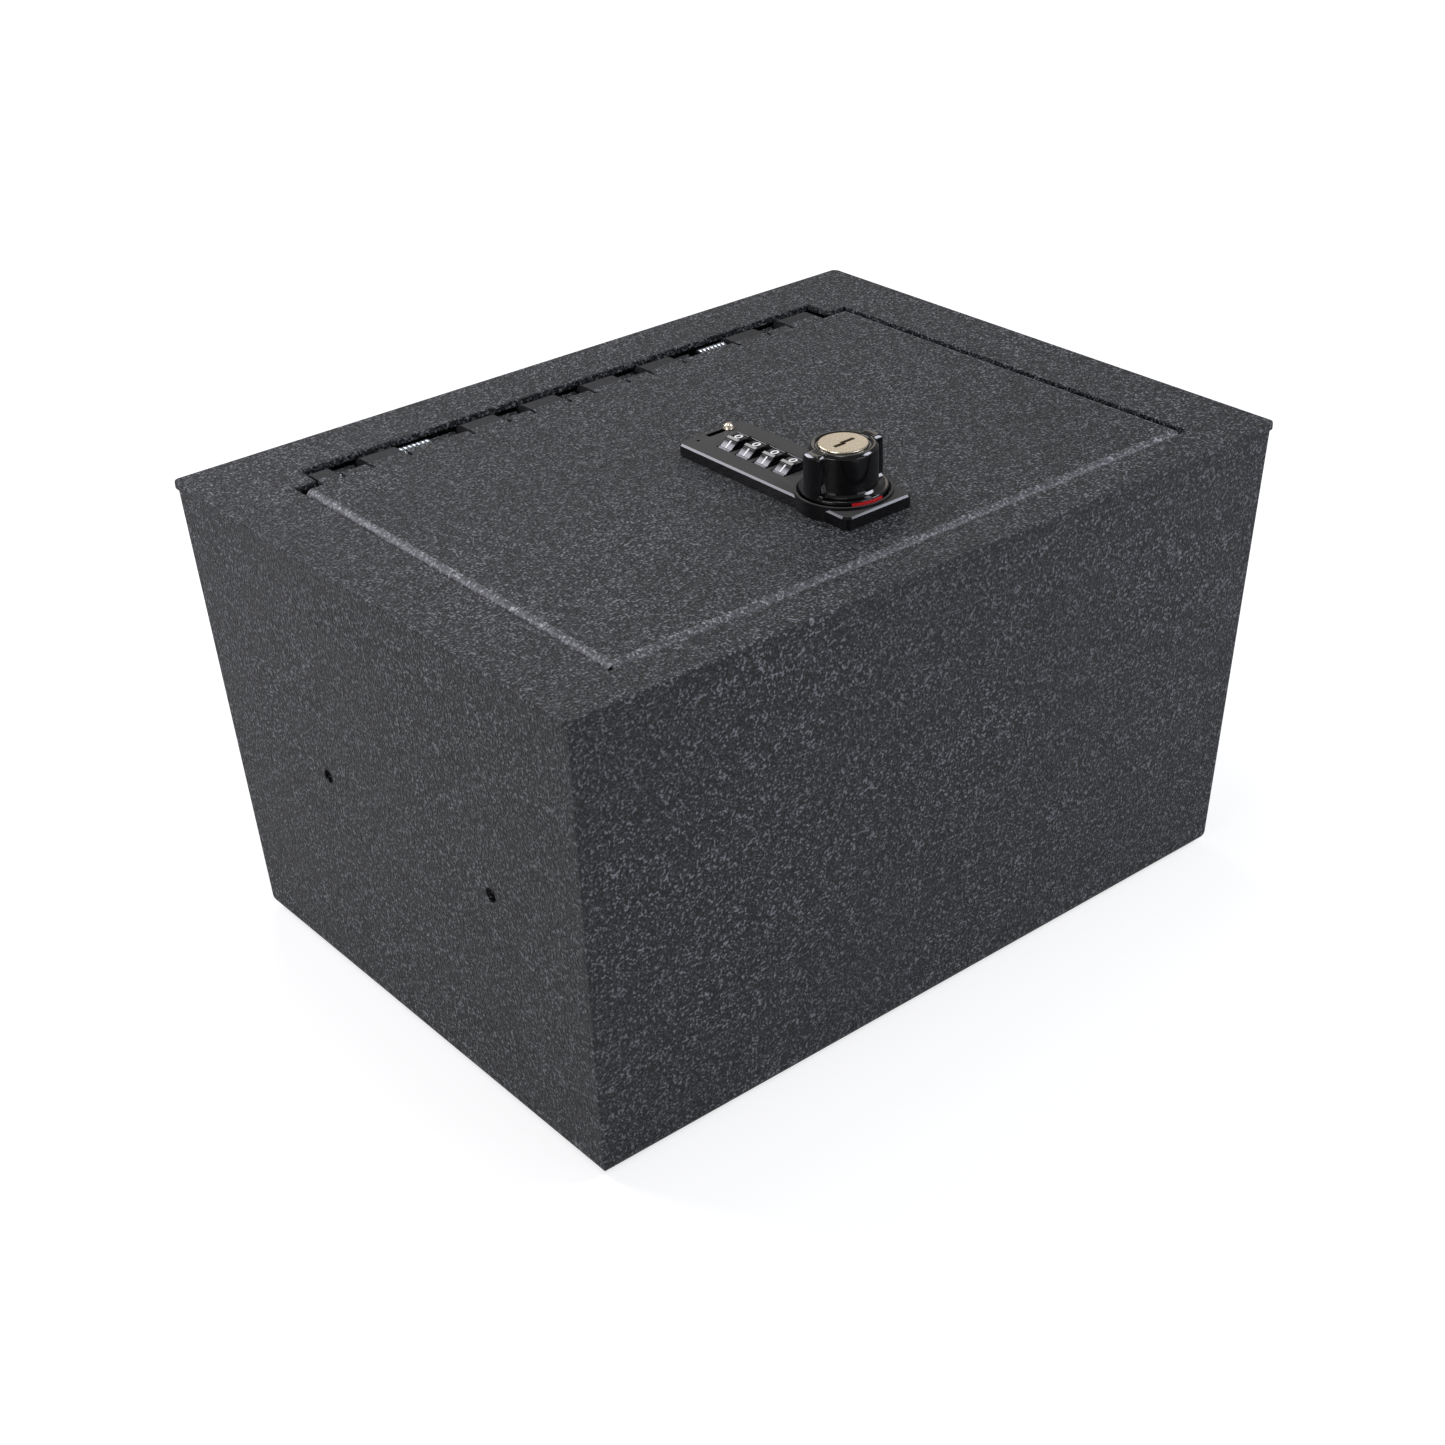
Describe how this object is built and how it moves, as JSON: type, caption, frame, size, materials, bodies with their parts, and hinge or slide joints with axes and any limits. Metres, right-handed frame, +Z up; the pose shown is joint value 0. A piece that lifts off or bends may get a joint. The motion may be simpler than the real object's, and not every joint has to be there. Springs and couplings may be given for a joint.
{
  "type": "steel lock box",
  "caption": "Black steel box with leaning walls, an inset lid on a rolled-tab hinge with two torsion springs, and a combination cam lock with a winged knob and key cylinder.",
  "frame": {"origin": "centre of the overall bounding box, on the floor under the box", "axes": "+Z up; +X along the hinge pin, to the right of a person facing the lock; +Y from the lock side to the hinge side"},
  "size_m": [0.2926, 0.2186, 0.1876],
  "materials": {
    "powder_coated_steel": "fine textured black powder coat",
    "spring_and_pin_steel": "bright zinc-plated wire",
    "black_zinc_casting": "satin black zinc casting",
    "zinc_plated_steel": "zinc-plated",
    "dial_plastic": "gloss black with white figures",
    "gloss_black_knob": "gloss black",
    "nickel_plating": "polished nickel",
    "brass": "machined",
    "red_enamel": "gloss red"
  },
  "bodies": {
    "box": {"body_pan": "powder_coated_steel", "top_frame": "powder_coated_steel", "hinge_leaf": "powder_coated_steel", "hinge_pin": "spring_and_pin_steel", "torsion_spring_left": "spring_and_pin_steel", "torsion_spring_right": "spring_and_pin_steel", "strike_keeper": "powder_coated_steel"},
    "lid": {"lid_panel": "powder_coated_steel", "lock_body": "black_zinc_casting", "lock_back_cover": "zinc_plated_steel", "cover_screws": "zinc_plated_steel", "stem_clip": "zinc_plated_steel", "dial_axle": "brass", "detent_spring": "spring_and_pin_steel", "bar_spring": "spring_and_pin_steel", "open_mark": "red_enamel"},
    "code_slider": {"code_slider": "nickel_plating"},
    "locking_bar": {"locking_bar": "zinc_plated_steel"},
    "dial_1": {"dial_wheel_1": "dial_plastic", "code_sleeve_1": "brass"},
    "dial_2": {"dial_wheel_2": "dial_plastic", "code_sleeve_2": "brass"},
    "dial_3": {"dial_wheel_3": "dial_plastic", "code_sleeve_3": "brass"},
    "dial_4": {"dial_wheel_4": "dial_plastic", "code_sleeve_4": "brass"},
    "knob": {"lock_knob": "gloss_black_knob", "cam_spindle": "zinc_plated_steel", "cam_washer": "zinc_plated_steel", "cam_latch": "zinc_plated_steel", "cam_screw": "zinc_plated_steel"},
    "key_plug": {"key_cylinder": "nickel_plating"}
  },
  "joints": [
    {"name": "lid_hinge", "type": "hinge", "parent": "box", "child": "lid", "pos_m": [0, 0.0795, 0.16195], "axis": [-1, 0, 0], "range_deg": [0, 95], "deforming": ["torsion_spring_left", "torsion_spring_right"]},
    {"name": "dial_1_turn", "type": "hinge", "parent": "lid", "child": "dial_1", "pos_m": [0, -0.0332, 0.1665], "axis": [0, 1, 0], "continuous": true},
    {"name": "dial_2_turn", "type": "hinge", "parent": "lid", "child": "dial_2", "pos_m": [0, -0.0242, 0.1665], "axis": [0, 1, 0], "continuous": true},
    {"name": "dial_3_turn", "type": "hinge", "parent": "lid", "child": "dial_3", "pos_m": [0, -0.0152, 0.1665], "axis": [0, 1, 0], "continuous": true},
    {"name": "dial_4_turn", "type": "hinge", "parent": "lid", "child": "dial_4", "pos_m": [0, -0.0062, 0.1665], "axis": [0, 1, 0], "continuous": true},
    {"name": "knob_turn", "type": "hinge", "parent": "lid", "child": "knob", "pos_m": [0, -0.0571, 0.1673], "axis": [0, 0, -1], "range_deg": [0, 90]},
    {"name": "key_turn", "type": "hinge", "parent": "knob", "child": "key_plug", "pos_m": [0, -0.0571, 0.1673], "axis": [0, 0, -1], "range_deg": [0, 90]},
    {"name": "bar_slide", "type": "slide", "parent": "lid", "child": "locking_bar", "axis": [0, -1, 0], "range_m": [0, 0.0015], "deforming": ["bar_spring"]},
    {"name": "code_slide", "type": "slide", "parent": "lid", "child": "code_slider", "axis": [-1, 0, 0], "range_m": [0, 0.008]}
  ],
  "couplings": [
    {"joint": "bar_slide", "follows": "knob_turn", "m_per_rad": 0.00095493}
  ]
}
